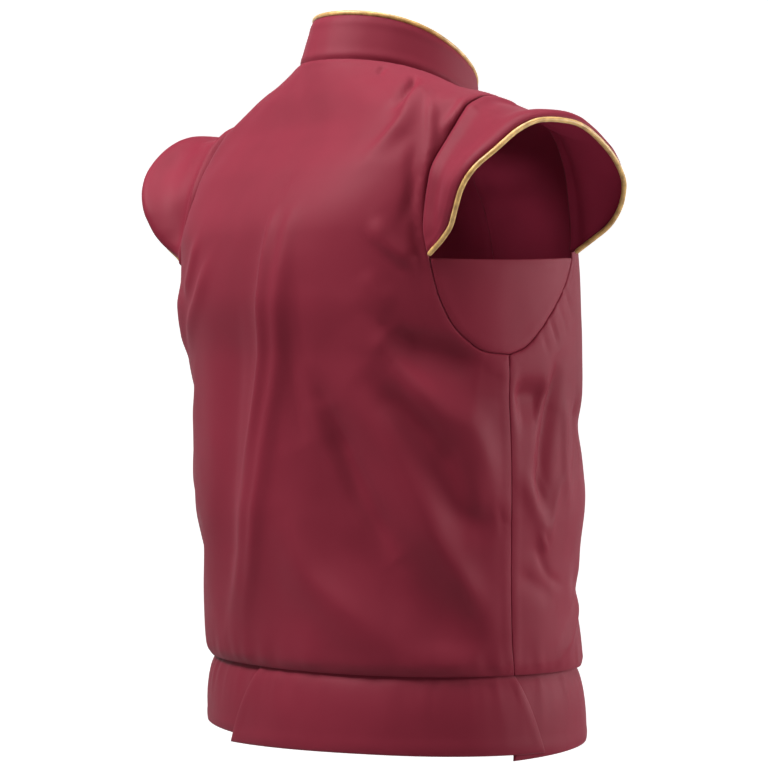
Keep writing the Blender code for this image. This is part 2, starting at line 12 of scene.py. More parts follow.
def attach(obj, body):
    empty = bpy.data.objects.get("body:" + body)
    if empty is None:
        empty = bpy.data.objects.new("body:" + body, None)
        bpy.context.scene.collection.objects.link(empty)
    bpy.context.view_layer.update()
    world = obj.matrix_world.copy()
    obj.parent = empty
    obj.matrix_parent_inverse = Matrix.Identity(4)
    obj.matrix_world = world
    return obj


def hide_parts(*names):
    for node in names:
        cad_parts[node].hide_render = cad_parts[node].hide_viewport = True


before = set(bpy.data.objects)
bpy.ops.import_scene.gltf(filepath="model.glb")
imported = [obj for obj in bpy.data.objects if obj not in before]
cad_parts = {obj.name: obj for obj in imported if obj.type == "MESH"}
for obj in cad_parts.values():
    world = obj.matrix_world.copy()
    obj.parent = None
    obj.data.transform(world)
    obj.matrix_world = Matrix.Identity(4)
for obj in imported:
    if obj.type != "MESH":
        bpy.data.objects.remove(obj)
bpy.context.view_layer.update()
print("frame loaded:", len(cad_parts), "nodes")


# The body's form: rings from the waist seam up to the neck seam, t metres up the cloth. Angles are in degrees
# round from the centre back, towards the wearer's right.
bodyShape = {
    "layer": 0.0022,  # how far the left front lies over the right one
    "sideSeam": 85.0,
    "shoulderSeam": 94.0,
    "frontEdge": 184.5,
    "lap": (168.0, 174.0),
    "round": 0.165,  # metres of cloth to a radian, for laying panels out flat
    "neck": 0.540,
    "middle": 0.01,  # y of the upright line that the body goes round
    "columns": (
        "t", "zSide", "zBack", "zFront", "halfWidth", "yBack", "yFront",
        "squareBack", "squareFront", "ySide", "tilt",
    ),
    "rings": (
        (0.000, -0.457, -0.457, -0.457, 0.1750, 0.1279, -0.1239, 2.15, 2.15, 0.0020, 0.000),
        (0.012, -0.446, -0.446, -0.446, 0.1785, 0.1325, -0.1225, 2.15, 2.15, 0.0050, 0.000),
        (0.046, -0.411, -0.411, -0.411, 0.1790, 0.1345, -0.1190, 2.15, 2.15, 0.0070, 0.000),
        (0.084, -0.373, -0.373, -0.373, 0.1800, 0.1370, -0.1200, 2.15, 2.15, 0.0080, 0.000),
        (0.123, -0.334, -0.334, -0.334, 0.1820, 0.1410, -0.1220, 2.20, 2.20, 0.0090, 0.000),
        (0.162, -0.295, -0.295, -0.295, 0.1825, 0.1420, -0.1205, 2.20, 2.20, 0.0100, 0.000),
        (0.237, -0.220, -0.220, -0.220, 0.1840, 0.1440, -0.1180, 2.25, 2.25, 0.0130, 0.000),
        (0.286, -0.171, -0.171, -0.171, 0.1850, 0.1510, -0.1150, 2.30, 2.30, 0.0165, 0.000),
        (0.332, -0.125, -0.125, -0.130, 0.1835, 0.1470, -0.1090, 2.60, 2.40, 0.0180, 0.000),
        (0.379, -0.078, -0.078, -0.092, 0.1830, 0.1280, -0.0990, 3.00, 2.60, 0.0200, 0.000),
        (0.409, -0.051, -0.053, -0.074, 0.1800, 0.1110, -0.0910, 3.20, 2.60, 0.0200, 0.000),
        (0.440, -0.0255, -0.036, -0.060, 0.1670, 0.1000, -0.0850, 3.20, 2.60, 0.0180, 0.003),
        (0.480, -0.0145, -0.013, -0.050, 0.1300, 0.0915, -0.0790, 2.80, 2.40, 0.0120, 0.009),
        (0.512, -0.0080, 0.002, -0.043, 0.0960, 0.0845, -0.0730, 2.40, 2.20, 0.0070, 0.018),
        (0.540, 0.000, 0.016, -0.038, 0.0700, 0.0780, -0.0680, 2.00, 2.00, 0.0040, 0.026),
    ),
}

# Right armhole, (degrees, t), from the side seam round by the back.
armholeShape = {
    "backCorner": 6,  # which rows are the inset's two corners and the shoulder seam
    "top": 15,
    "frontCorner": 22,
    "topSag": 0.002,  # of the inset's top edge at its middle
    "rows": (
        (85, 0.2408), (76.1, 0.243), (71.4, 0.25), (67.1, 0.2605), (64.5, 0.2735), (62.3, 0.29),
        (60.2, 0.312), (58.3, 0.335), (57.1, 0.3615), (56.7, 0.379), (57.9, 0.394), (60.8, 0.4115),
        (66.5, 0.429), (75, 0.445), (85, 0.456), (94, 0.458), (103, 0.453), (111, 0.44),
        (117, 0.419), (120, 0.392), (120.6, 0.365), (120.5, 0.34), (120, 0.3165),
        (113.4, 0.295), (106.1, 0.2765), (98.5, 0.259), (91.9, 0.2465),
    ),
}

# How the panels are cut and turned in at their seams. Waves are rows: height, size across and up, seed.
cloth = {
    "grid": 0.0034,
    "seamStep": 0.0035,
    "gap": 0.0001,
    "thick": 0.0011,
    "uvScale": 10,
    "roll": (0.0008, 0.0017),  # radius of the turned-in edge: at plain seams, and round the armholes
    "rollReach": (0.004, 0.012),
    "insets": (0.0, 0.00015, 0.0005, 0.0011, 0.0020, 0.0036),  # rows of points along an edge
    "clear": 0.6,  # share of the grid's step left free inside those rows
    "allowance": (0.0005, 0.0055, 0.0030),  # seam allowance's ridge: height, where it lies, half its width
    "pucker": (0.00030, 0.006, 0.0075),  # height, reach from the seam, length along it
    "puckerSeed": (5.2, 0.7),
    "waves": ((0.0009, 0.055, 0.085, 3.1), (0.00035, 0.022, 0.030, 7.7)),
    "calm": (0.03, 0.02),  # how far from the waist seam and the neck seam the creases come up to full height
    "gather": (0.0018, 0.013, 0.09, 5.9),  # waves above the waist seam, which come in and go out over:
    "gatherReach": (0.008, 0.022),
}

# Creases: height, half widths on its two sides, how soon it fades in and out, points (degrees, t) along it.
# One number stands for two that are the same.
creases = (
    # two long soft ridges down the back and their crests
    (0.007, (0.024, 0.013), 0.25,
     (14.5, 0.35), (14.2, 0.3), (12, 0.249), (8, 0.2), (3.2, 0.14), (-2.4, 0.079), (-11, 0.029)),
    (0.0026, (0.005, 0.004), (0.15, 0.4),
     (13.6, 0.346), (13.2, 0.305), (11.3, 0.257), (7.6, 0.204), (1.2, 0.15)),
    (0.0031, (0.007, 0.005), (0.15, 0.3),
     (20, 0.348), (19.5, 0.31), (17.7, 0.265), (15.3, 0.226), (11.6, 0.186), (8, 0.139), (3.5, 0.09),
     (-3, 0.04)),
    (-0.0016, (0.008, 0.01), (0.2, 0.4), (23.8, 0.305), (22.8, 0.25), (23.5, 0.2), (26.5, 0.16), (31, 0.12)),
    # the hollow right of them
    (-0.0018, (0.01, 0.009), (0.3, 0.4),
     (22.4, 0.232), (28.8, 0.203), (30.1, 0.172), (37.7, 0.144), (44.4, 0.12)),
    (-0.0098, (0.016, 0.012), 0.3, (29.3, 0.204), (36.6, 0.142), (47.8, 0.087)),
    (0.0016, 0.006, 0.3, (22.8, 0.245), (24.2, 0.202), (30.2, 0.159), (34, 0.125)),
    (-0.0012, (0.005, 0.006), 0.3, (19.8, 0.297), (19.5, 0.237), (21.8, 0.159)),
    (-0.0018, 0.006, 0.3, (25.8, 0.219), (30.5, 0.185), (34.2, 0.163)),
    (0.0024, (0.006, 0.008), 0.3, (43.8, 0.258), (50, 0.236), (61.8, 0.202)),
    (-0.002, 0.008, 0.3, (44.8, 0.219), (54.5, 0.192), (61.8, 0.177)),
    (0.0018, 0.008, 0.3, (44.8, 0.202), (52.2, 0.177), (61.5, 0.151)),
    # drags from the underarm down to the waist
    (-0.0098, (0.026, 0.028), (0.3, 0.2),
     (22.5, 0.173), (33, 0.114), (46.5, 0.072), (57.8, 0.052), (72.4, 0.017)),
    (0.0052, (0.012, 0.023), (0.3, 0.4), (15.5, 0.121), (22.7, 0.076), (33.3, 0.049), (46.7, 0.02)),
    (0.0064, 0.014, (0.3, 0.2), (38.6, 0.216), (47.3, 0.177), (55.7, 0.129), (61.5, 0.094), (73.9, 0.048)),
    (-0.0074, (0.011, 0.016), (0.3, 0.2),
     (42.4, 0.235), (51.9, 0.195), (62.4, 0.158), (69.5, 0.12), (79.6, 0.117)),
    (0.0068, (0.016, 0.026), (0.3, 0.2),
     (39.6, 0.27), (51.9, 0.217), (62.2, 0.195), (70.9, 0.184), (77.6, 0.138)),
    (-0.0093, (0.011, 0.02), (0.25, 0.3), (48.9, 0.258), (53.5, 0.245), (60.6, 0.242), (74.3, 0.231)),
    # pits beside the armhole
    (-0.0008, 0.004, (0.3, 0.2), (42.6, 0.327), (47.7, 0.314), (53.7, 0.3)),
    (0.0032, (0.008, 0.006), (0.3, 0.2), (44.4, 0.342), (47.6, 0.325), (55.4, 0.308)),
    (0.0014, (0.008, 0.01), 0.3, (42.5, 0.303), (46.6, 0.286), (51.4, 0.279)),
    (-0.0025, (0.004, 0.005), 0.3, (48.6, 0.402), (52.5, 0.361), (52.7, 0.333)),
    # from the neck seam down to the armhole
    (-0.0053, (0.004, 0.005), (0.2, 0.4), (62.7, 0.509), (54.9, 0.487), (46.2, 0.46), (39.5, 0.437)),
    (0.0052, (0.01, 0.006), 0.3, (59.6, 0.48), (48.3, 0.452), (43.3, 0.42), (37.8, 0.392)),
    (0.003, (0.006, 0.004), 0.3, (53.6, 0.452), (52.7, 0.421), (54.6, 0.387), (55.2, 0.351)),
    (-0.0023, 0.004, (0.2, 0.4), (50.7, 0.529), (46.1, 0.516), (43.7, 0.505)),
    (0.0044, (0.008, 0.006), 0.3, (68.5, 0.44), (62, 0.423), (56.7, 0.41)),
    # left of the middle
    (-0.005, (0.014, 0.022), (0.4, 0.3), (0.5, 0.29), (-3, 0.238), (-6.5, 0.183), (-10, 0.112), (-14, 0.049)),
    (0.003, (0.009, 0.006), 0.3, (-12.7, 0.321), (-19.5, 0.288), (-28.8, 0.265), (-34.8, 0.248)),
    (0.0028, (0.005, 0.008), 0.3, (-20, 0.336), (-24.7, 0.307), (-30.3, 0.289)),
    (-0.0015, (0.018, 0.015), 0.4, (-28, 0.497), (-27.4, 0.423), (-32, 0.356)),
    (-0.012, 0.034, 0.3, (-48, 0.5), (-48, 0.41), (-45, 0.33)),
    # right front, beside the side seam
    (-0.0058, (0.012, 0.007), 0.2,
     (107.7, 0.235), (102.6, 0.202), (99.1, 0.176), (97.4, 0.149), (98.2, 0.123)),
    (0.0024, (0.009, 0.005), 0.3, (111.9, 0.208), (110.4, 0.178), (110.4, 0.15), (110.7, 0.121)),
    (-0.0028, (0.008, 0.009), (0.2, 0.3), (121.8, 0.208), (120.1, 0.171), (117.3, 0.151), (119, 0.138)),
    (-0.008, (0.01, 0.021), 0.3, (86.6, 0.21), (96.9, 0.21), (101.4, 0.206)),
    (-0.0014, (0.004, 0.005), 0.3, (92.5, 0.093), (95.8, 0.094), (101.3, 0.075), (110.8, 0.066)),
    (-0.0016, (0.007, 0.009), 0.3, (87.7, 0.077), (96.7, 0.066), (104, 0.059)),
    (0.0036, (0.007, 0.01), 0.3, (104.1, 0.003), (115.2, 0.029), (122.8, 0.047), (130.6, 0.06)),
    (0.003, 0.01, 0.3, (88.2, 0.153), (95.6, 0.126), (102.3, 0.098)),
    (0.001, 0.003, 0.3, (104, 0.226), (101.5, 0.212), (98.5, 0.196)),
    (0.001, (0.0035, 0.003), (0.3, 0.4), (96.6, 0.176), (98, 0.15), (102, 0.13)),
    (0.0012, (0.005, 0.004), (0.3, 0.4), (110.5, 0.16), (104.5, 0.13), (100.5, 0.098)),
    (0.0016, (0.0026, 0.0034), (0.3, 0.4), (96.2, 0.108), (98.6, 0.099), (101, 0.091)),
    # small gathers at the front of the right armhole
    (-0.0012, (0.0018, 0.002), (0, 0.4), (99, 0.257), (101, 0.249), (102.5, 0.24)),
    (-0.0015, (0.002, 0.0024), (0, 0.4), (103.4, 0.268), (106, 0.257), (107.5, 0.246)),
    (-0.0012, (0.0018, 0.0022), (0, 0.4), (108.2, 0.279), (111.5, 0.267), (113, 0.254)),
    (-0.0014, (0.002, 0.0024), (0, 0.4), (112.6, 0.29), (115.5, 0.281), (118, 0.27)),
    # hollow in front of the right shoulder
    (-0.0065, 0.015, 0.2, (99, 0.462), (108, 0.452), (117, 0.438)),
    # left side of the back
    (0.004, 0.014, 0.3, (-36, 0.3), (-40, 0.27), (-44, 0.242)),
    (-0.0035, (0.011, 0.013), 0.3, (-34, 0.23), (-44, 0.208), (-60, 0.19)),
    (0.004, (0.013, 0.015), 0.3, (-46, 0.17), (-56, 0.125), (-74, 0.09)),
    (-0.0035, (0.014, 0.013), 0.3, (-30, 0.12), (-46, 0.07), (-70, 0.04)),
    # left side, out of the picture
    (-0.005, (0.01, 0.015), (0.25, 0.3), (-49, 0.258), (-58, 0.243), (-76, 0.231)),
    (0.0034, (0.012, 0.016), (0.3, 0.2), (-52, 0.236), (-64, 0.198), (-79, 0.16)),
    (-0.0032, (0.011, 0.013), (0.3, 0.2), (-55, 0.205), (-66, 0.148), (-80, 0.118)),
    (-0.004, (0.016, 0.018), (0.3, 0.2), (-50, 0.08), (-64, 0.038), (-78, 0.02)),
    (-0.0028, (0.005, 0.006), (0.2, 0.4), (-61, 0.508), (-54, 0.484), (-46, 0.452)),
    (0.0026, (0.008, 0.007), 0.3, (-58, 0.476), (-50, 0.447), (-44, 0.412)),
    (-0.002, 0.006, (0.3, 0.2), (-44.5, 0.34), (-49, 0.326), (-55, 0.315)),
    # hollow of the body beside the right cap
    (-0.0024, 0.004, 0.3, (59.6, 0.29), (57, 0.318), (55.1, 0.34), (53.8, 0.365), (54, 0.385)),
    # right front, farther round
    (-0.0034, (0.014, 0.018), (0.35, 0.5), (116, 0.204), (127, 0.19), (139, 0.186), (152, 0.196)),
    (-0.0036, (0.014, 0.017), (0.35, 0.5), (116, 0.082), (130, 0.06), (148, 0.046)),
    (0.0012, (0.015, 0.017), (0.3, 0.4), (120, 0.12), (134, 0.135), (152, 0.15)),
    (0.0025, (0.013, 0.015), 0.3, (150, 0.34), (155, 0.28), (158, 0.21)),
    # left front
    (0.0035, (0.012, 0.014), 0.3, (-108, 0.225), (-118, 0.18), (-140, 0.15)),
    (-0.0035, (0.013, 0.012), 0.3, (-100, 0.11), (-122, 0.075), (-146, 0.05)),
    (0.0025, 0.014, 0.3, (-146, 0.33), (-150, 0.26), (-152, 0.2)),
)

collarShape = {
    "foot": -0.030,  # it starts a little below the neck seam, and this far inside it, easing out up to:
    "footIn": 0.0009,
    "footReach": 0.04,
    "end": 179.8,
    "length": 0.43,
    "tall": 0.036,
    "bulge": 0.0005,
    # a ring of the body's columns, without its t
    "top": (0.0315, 0.0515, -0.0045, 0.0640, 0.0665, -0.0670, 2.0, 2.0, 0.0, 0.032),
    "round": 260,
    "up": 14,
    "waves": ((0.0006, 0.040, 0.060, 11.3), (0.0002, 0.012, 0.030, 2.9)),
    "ease": (0.00035, 0.0045, 0.05, 8.1),  # small wrinkles that hang this far from the piping:
    "easeReach": 0.005,
    "calm": 0.003,
    "pipingEnd": 179.2,
    "pipingPoints": 120,
    "riseFrom": 0.9,  # how far up the collar the way that its piping stands is read
}

# Outer line of the piping round a sleeve cap, back corner to front corner: out from the middle, y, z,
# and how much higher and how much nearer the middle the left one lies.
capShape = {
    "edge": (
        (0.1745, 0.093, -0.1438, 0, 0),
        (0.189, 0.0914, -0.1345, 0, 0),
        (0.204, 0.0938, -0.1248, 0, 0.0005),
        (0.215, 0.098, -0.1137, 0.0004, 0.0015),
        (0.227, 0.1004, -0.0964, 0.0011, 0.0025),
        (0.238, 0.0968, -0.0822, 0.0029, 0.0035),
        (0.248, 0.085, -0.069, 0.0055, 0.0047),
        (0.251, 0.0667, -0.0545, 0.0066, 0.0057),
        (0.252, 0.0482, -0.0464, 0.007, 0.006),
        (0.252, 0.0259, -0.0451, 0.007, 0.006),
        (0.25, 0.0059, -0.0478, 0.0063, 0.0054),
        (0.245, -0.0141, -0.056, 0.0044, 0.0038),
        (0.24, -0.0333, -0.0691, 0.0018, 0.0016),
        (0.232, -0.0488, -0.0815, 0.0004, 0.0003),
        (0.225, -0.0566, -0.0916, 0, 0),
        (0.215, -0.0607, -0.1059, 0, 0),
        (0.2, -0.0622, -0.1186, 0, 0),
        (0.185, -0.058, -0.1285, 0, 0),
        (0.1715, -0.0505, -0.1385, 0, 0),
    ),
    "round": 130,
    "across": 26,
    "sag": (0.0020, 0.0),  # of the right and the left cap halfway out, where it reaches out this far or more:
    "fullReach": 0.06,
    "bulge": ((0.0050, 0.010, 0.020), (0.0120, 0.006, 0.015)),  # height, how far from the edge, half width
    "bulgeIn": 0.003,  # how soon it comes up from the edge
    "footDepth": 0.0013,
    "footRoll": ((0.0016, 0.008, 0.005), (0.0048, 0.008, 0.005)),  # height, how far from the foot, half width
    "footDip": (0.0010, 0.020, 0.008),
    "waves": ((0.0010, 0.035, 0.050, 0.0), (0.0003, 0.014, 0.020, 3.0)),
    "ease": (0.00035, 0.0050, 0.05, 5.0),  # small wrinkles beside the piping, as on the collar
    "easeReach": 0.005,
    "calm": 0.004,
    "seed": (4.4, 9.9),
    "middle": (-0.2, 0.015, -0.12),
    "length": 0.20,  # nominal: of the foot, from foot to edge, and of the foot laid flat
    "deep": 0.06,
    "flatLength": 0.24,
    "seamStep": 0.002,
    "fine": 400,
    "edgeFine": 600,
    "freeEnd": 0.010,
    "gap": -0.0010,  # its foot is tucked this far under the panels
}

pipingShape = {
    "radius": 0.0019,
    "gap": -0.0002,  # it is sewn hard against the cloth, this far to its inner side:
    "inward": 0.0008,
    "beside": 0.0002,  # room that a cap's cloth leaves beside it
    "sides": 14,
    "step": 0.0013,
    "wrinkle": 0.00013,
    "slant": (0.0042, 2),  # metres along it from wrinkle to wrinkle, and how many are crossed going round it
    "change": (0.6, 0.03),  # how much the wrinkles change round the cord, and over how far along it
    "endLeast": 0.02,
}

tabShape = {
    # a ring of the body's columns, without its t
    "hem": (-0.5150, -0.5153, -0.5150, 0.1785, 0.1300, -0.1280, 2.15, 2.15, 0.002, 0.0),
    "columns": (
        "name", "first", "last", "spreadFirst", "spreadLast", "dropFirst", "dropMiddle", "dropLast",
        "overFirst", "overLast",
    ),
    "rows": (
        ("peplum_back_right", 0.0, 85.0, 13.0, 11.5, 0.0040, 0.0003, 0.0010, 1, 1),
        ("peplum_back_left", -85.0, 0.0, 10.5, 2.0, 0.0010, -0.0040, -0.0020, 1, 0),
        ("peplum_front_right", 85.0, 183.0, 1.0, 0.0, 0.0057, 0.0010, 0.0010, 0, 0),
        ("peplum_front_left", -183.0, -85.0, 0.0, 1.0, 0.0000, 0.0010, 0.0040, 1, 0),
    ),
    "layer": 0.0026,
    "overRange": (0.25, 0.75),  # where along the tab it passes from one layer to the other
    "tall": 0.063,
    "flare": 0.9,
    "inward": 0.0053,
    "tuck": 0.005,
    "edgeRow": 0.11,  # share of the tab's length hidden behind the bodice's edge
    "bow": (0.0035, 0.7),  # how far out it bows, and a power below 1 that puts the fullest part above halfway
    "step": 0.0032,
    "waves": ((0.0008, 0.045, 0.060, 0.3), (0.0003, 0.016, 0.022, 0.9)),
    "gather": (0.0017, 0.010, 0.08, 4.7),  # small waves under the seam, their hollows held at this share:
    "gatherLeast": -0.2,
    "gatherReach": (-0.002, 0.006, 0.026),
    "hemFold": (0.00025, 0.0095, 0.0012),  # hem allowance's edge: height, how far up it lies, half its width
    "calm": 0.006,
    "cutFlare": 0.6,  # share of its spread at the hem in the width that it is cut to
}


def smoothThrough(xs, ys, x):
    # a curve through the points that never overshoots them
    xs, ys = np.asarray(xs, float), np.asarray(ys, float)
    steps = np.diff(xs)
    slopes = np.diff(ys) / steps
    turns = np.zeros_like(ys)
    turns[0], turns[-1] = slopes[0], slopes[-1]
    for i in range(1, len(xs) - 1):
        if slopes[i - 1] * slopes[i] > 0:
            before, after = 2 * steps[i] + steps[i - 1], steps[i] + 2 * steps[i - 1]
            turns[i] = (before + after) / (before / slopes[i - 1] + after / slopes[i])
    x = np.clip(x, xs[0], xs[-1])
    i = np.clip(np.searchsorted(xs, x, side="right") - 1, 0, len(xs) - 2)
    s = (x - xs[i]) / steps[i]
    return (
        (1 + 2 * s) * (1 - s) ** 2 * ys[i]
        + s * (1 - s) ** 2 * steps[i] * turns[i]
        + s * s * (3 - 2 * s) * ys[i + 1]
        + s * s * (s - 1) * steps[i] * turns[i + 1]
    )


def ease(x, start, end):
    s = np.clip((x - start) / (end - start), 0.0, 1.0)
    return s * s * (3 - 2 * s)


def hump(x, at, wide):
    return np.exp(-(((x - at) / wide) ** 2))


def unit(vectors):
    return vectors / np.linalg.norm(vectors, axis=-1, keepdims=True)


def squareTo(vectors, way):
    # the part of each vector that is square to the way at its place, as a unit vector
    return unit(vectors - np.einsum("ij,ij->i", vectors, way)[:, None] * way)


def outwardAt(degrees):
    angle = np.radians(degrees)
    return np.stack([-np.sin(angle), np.cos(angle), 0 * angle], -1)


def ringPoint(degrees, ring):
    at = dict(zip(bodyShape["columns"][1:], ring))
    angle = np.radians(degrees)
    s, c = np.sin(angle), np.cos(angle)
    back = c >= 0
    square = np.where(back, at["squareBack"], at["squareFront"])
    reach = (np.abs(s) ** square + np.abs(c) ** square) ** (-1 / square)
    yEnd = np.where(back, at["yBack"], at["yFront"])
    x = -at["halfWidth"] * s * reach
    y = at["ySide"] + np.abs(c) * reach * (yEnd - at["ySide"])
    rise = np.where(back, at["zBack"] - at["zSide"] - at["tilt"], at["zFront"] - at["zSide"] + at["tilt"])
    z = at["zSide"] + at["tilt"] * c + rise * c * c
    return np.stack([x, y, z], -1)


def plainBody(degrees, t):
    degrees, t = np.broadcast_arrays(np.asarray(degrees, float), np.asarray(t, float))
    lengths, *columns = zip(*bodyShape["rings"])
    return ringPoint(degrees, [smoothThrough(lengths, column, t) for column in columns])


def lengthOf(points):
    return np.linalg.norm(np.diff(points, axis=0), axis=1).sum()


def runAlong(points):
    return np.concatenate([[0], np.cumsum(np.linalg.norm(np.diff(points, axis=0), axis=1))])


def readAt(want, run, points):
    # where the row of points is at each wanted length along it
    return np.stack([np.interp(want, run, points[:, k]) for k in range(points.shape[1])], -1)


def curveThrough(points, count):
    # a smooth curve through the points, its own points evenly apart
    p = np.asarray(points, float)
    p = np.vstack([2 * p[0] - p[1], p, 2 * p[-1] - p[-2]])
    fine = []
    for i in range(1, len(p) - 2):
        s = np.linspace(0, 1, 24, endpoint=i == len(p) - 3)[:, None]
        a, b, c, d = p[i - 1], p[i], p[i + 1], p[i + 2]
        square, cube = 2 * a - 5 * b + 4 * c - d, 3 * b - a - 3 * c + d
        fine.append(0.5 * (2 * b + (c - a) * s + square * s**2 + cube * s**3))
    fine = np.vstack(fine)
    run = runAlong(fine)
    return readAt(np.linspace(0, run[-1], count), run, fine)


def laidFlat(degrees, t):
    return np.stack(np.broadcast_arrays(np.radians(degrees) * bodyShape["round"], t), -1)


def creaseHeight(flat):
    # how far the creases move the cloth out at each point of the flat layout
    total = np.zeros(len(flat))
    for height, wide, fades, *points in creases:
        (wideLeft, wideRight), (first, last) = np.broadcast_to(wide, 2), np.broadcast_to(fades, 2)
        line = curveThrough(laidFlat(*np.transpose(points)), 4 * len(points))
        near = np.full(len(flat), np.inf)
        along = np.zeros(len(flat))
        side = np.ones(len(flat))
        for i, (a, b) in enumerate(zip(line, line[1:])):
            way = b - a
            s = np.clip(((flat - a) @ way) / (way @ way), 0, 1)
            off = flat - (a + s[:, None] * way)
            away = np.linalg.norm(off, axis=1)
            closer = away < near
            along = np.where(closer, (i + s) / (len(line) - 1), along)
            side = np.where(closer, np.sign(way[0] * off[:, 1] - way[1] * off[:, 0]), side)
            near = np.minimum(near, away)
        fade = ease(along, -0.1, first) * ease(1 - along, -0.1, last)
        total += height * fade * hump(near, 0, np.where(side > 0, wideLeft, wideRight))
    return total


def waves(flat, rows, seed=0.0):
    # smooth uneven waves added up: each row is a height, sizes across and up, and its own part of the seed
    total = 0
    for height, across, up, own in rows:
        place = seed + own
        values = [
            noise.noise(Vector((x / across + place, y / up - place, place * 0.37)))
            for x, y in flat.reshape(-1, 2)
        ]
        total = total + height * np.array(values).reshape(flat.shape[:-1])
    return total


def bodyNormal(degrees, t):
    turn, small = 0.5, 0.002
    low, high = np.clip(t - small, 0, bodyShape["neck"]), np.clip(t + small, 0, bodyShape["neck"])
    across = plainBody(degrees + turn, t) - plainBody(degrees - turn, t)
    along = plainBody(degrees, high) - plainBody(degrees, low)
    return unit(np.cross(across, along))


def bodyPoint(degrees, t, out=0.0):
    degrees, t = np.broadcast_arrays(np.asarray(degrees, float), np.asarray(t, float))
    flat = laidFlat(degrees, t)
    height = creaseHeight(flat) + waves(flat, cloth["waves"])
    fromWaist, fromNeck = cloth["calm"]
    height *= ease(t, 0.0, fromWaist) * ease(bodyShape["neck"] - t, 0.0, fromNeck)
    comeIn, goOut = cloth["gatherReach"]
    height += waves(flat, [cloth["gather"]]) * hump(t, 0, goOut) * ease(t, 0.0, comeIn)
    return plainBody(degrees, t) + bodyNormal(degrees, t) * (height + out)[:, None]


def armhole(first, last, spacing=cloth["seamStep"]):
    rows = [armholeShape["rows"][i % len(armholeShape["rows"])] for i in range(first, last + 1)]
    flat = laidFlat(*np.transpose(rows))
    flat = curveThrough(flat, max(3, round(lengthOf(flat) / spacing) + 1))
    return np.stack([np.degrees(flat[:, 0] / bodyShape["round"]), flat[:, 1]], -1)


def straight(start, end):
    length = math.hypot(math.radians(end[0] - start[0]) * bodyShape["round"], end[1] - start[1])
    return np.linspace(start, end, max(2, round(length / cloth["seamStep"]) + 1))


def inside(points, outline):
    found = np.zeros(len(points), bool)
    for (x0, y0), (x1, y1) in zip(outline, np.roll(outline, -1, axis=0)):
        crosses = (y0 > points[:, 1]) != (y1 > points[:, 1])
        with np.errstate(divide="ignore", invalid="ignore"):
            found ^= crosses & (points[:, 0] < (x1 - x0) * (points[:, 1] - y0) / (y1 - y0) + x0)
    return found


def distanceTo(points, outline):
    # how far each point is from the outline, and how far round the outline that is
    best = np.full(len(points), np.inf)
    where = np.zeros(len(points))
    run = 0.0
    for a, b in zip(outline, np.roll(outline, -1, axis=0)):
        way = b - a
        s = np.clip(((points - a) @ way) / (way @ way), 0, 1)
        away = np.linalg.norm(points - (a + s[:, None] * way), axis=1)
        length = np.linalg.norm(way)
        where = np.where(away < best, run + s * length, where)
        best = np.minimum(best, away)
        run += length
    return best, where


def drawnIn(outline, by):
    # the outline, which runs anticlockwise, moved inwards
    first = unit(outline - np.roll(outline, 1, axis=0))
    second = unit(np.roll(outline, -1, axis=0) - outline)
    normal = unit(np.stack([-(first + second)[:, 1], (first + second)[:, 0]], -1))
    lean = np.maximum(np.einsum("ij,ij->i", normal, np.stack([-first[:, 1], first[:, 0]], -1)), 0.5)
    return outline + normal * (by / lean)[:, None]


def edgeHeight(distance, where, radius):
    # the turned-in edge, the seam allowance under it and the pucker of the stitching
    inward = radius - np.sqrt(np.maximum(radius**2 - np.maximum(radius - distance, 0) ** 2, 0))
    lift, at, half = cloth["allowance"]
    height, reach, length = cloth["pucker"]
    wave = np.array([noise.noise(Vector((w / length, *cloth["puckerSeed"]))) for w in where])
    pucker = np.where(distance < 5 * reach, height * wave * np.exp(-distance / reach), 0)
    return (lift * hump(distance, at, half) + pucker) * ease(distance, 0, radius) - inward


def flatPanel(runs):
    # points and triangles over a panel given by runs of (degrees, t), with rows of points along its edges
    outline = laidFlat(*np.vstack([run[:-1] for run in runs]).T)
    if np.sum(outline[:, 0] * np.roll(outline[:, 1], -1) - outline[:, 1] * np.roll(outline[:, 0], -1)) < 0:
        outline = outline[::-1]
    grid = cloth["grid"]
    edge = drawnIn(outline, cloth["gap"] / 2)
    rows = [edge]
    for inset in cloth["insets"][1:]:
        row = drawnIn(edge, inset)
        # in a tight corner the row crosses itself, so its points too near the edge are left out
        rows.append(row[inside(row, edge) & (distanceTo(row, edge)[0] > inset * 0.9)])
    low, high = outline.min(axis=0), outline.max(axis=0)
    ups = np.arange(low[1] + grid / 2, high[1], grid * math.sqrt(0.75))
    rounds = np.arange(low[0] - grid, high[0] + grid, grid)
    points = np.array([(x + (j % 2) * grid / 2, y) for j, y in enumerate(ups) for x in rounds])
    points = points[inside(points, edge)]
    points = points[distanceTo(points, edge)[0] > cloth["insets"][-1] + grid * cloth["clear"]]
    everything = np.vstack(rows + [points])
    ring = [(i, (i + 1) % len(edge)) for i in range(len(edge))]
    found = delaunay_2d_cdt([Vector(p) for p in everything], ring, [], 1, 1e-7)
    flat = np.array([tuple(v) for v in found[0]])
    distance, where = distanceTo(flat, edge)
    return flat, [tuple(face) for face in found[2]], distance, where


def gridFaces(rows, columns):
    return [
        (i * columns + j, i * columns + j + 1, (i + 1) * columns + j + 1, (i + 1) * columns + j)
        for i in range(rows - 1)
        for j in range(columns - 1)
    ]


def gridNormals(points):
    # outward or inward normals of a grid of points, rows by columns
    return unit(np.cross(np.gradient(points, axis=1), np.gradient(points, axis=0)))


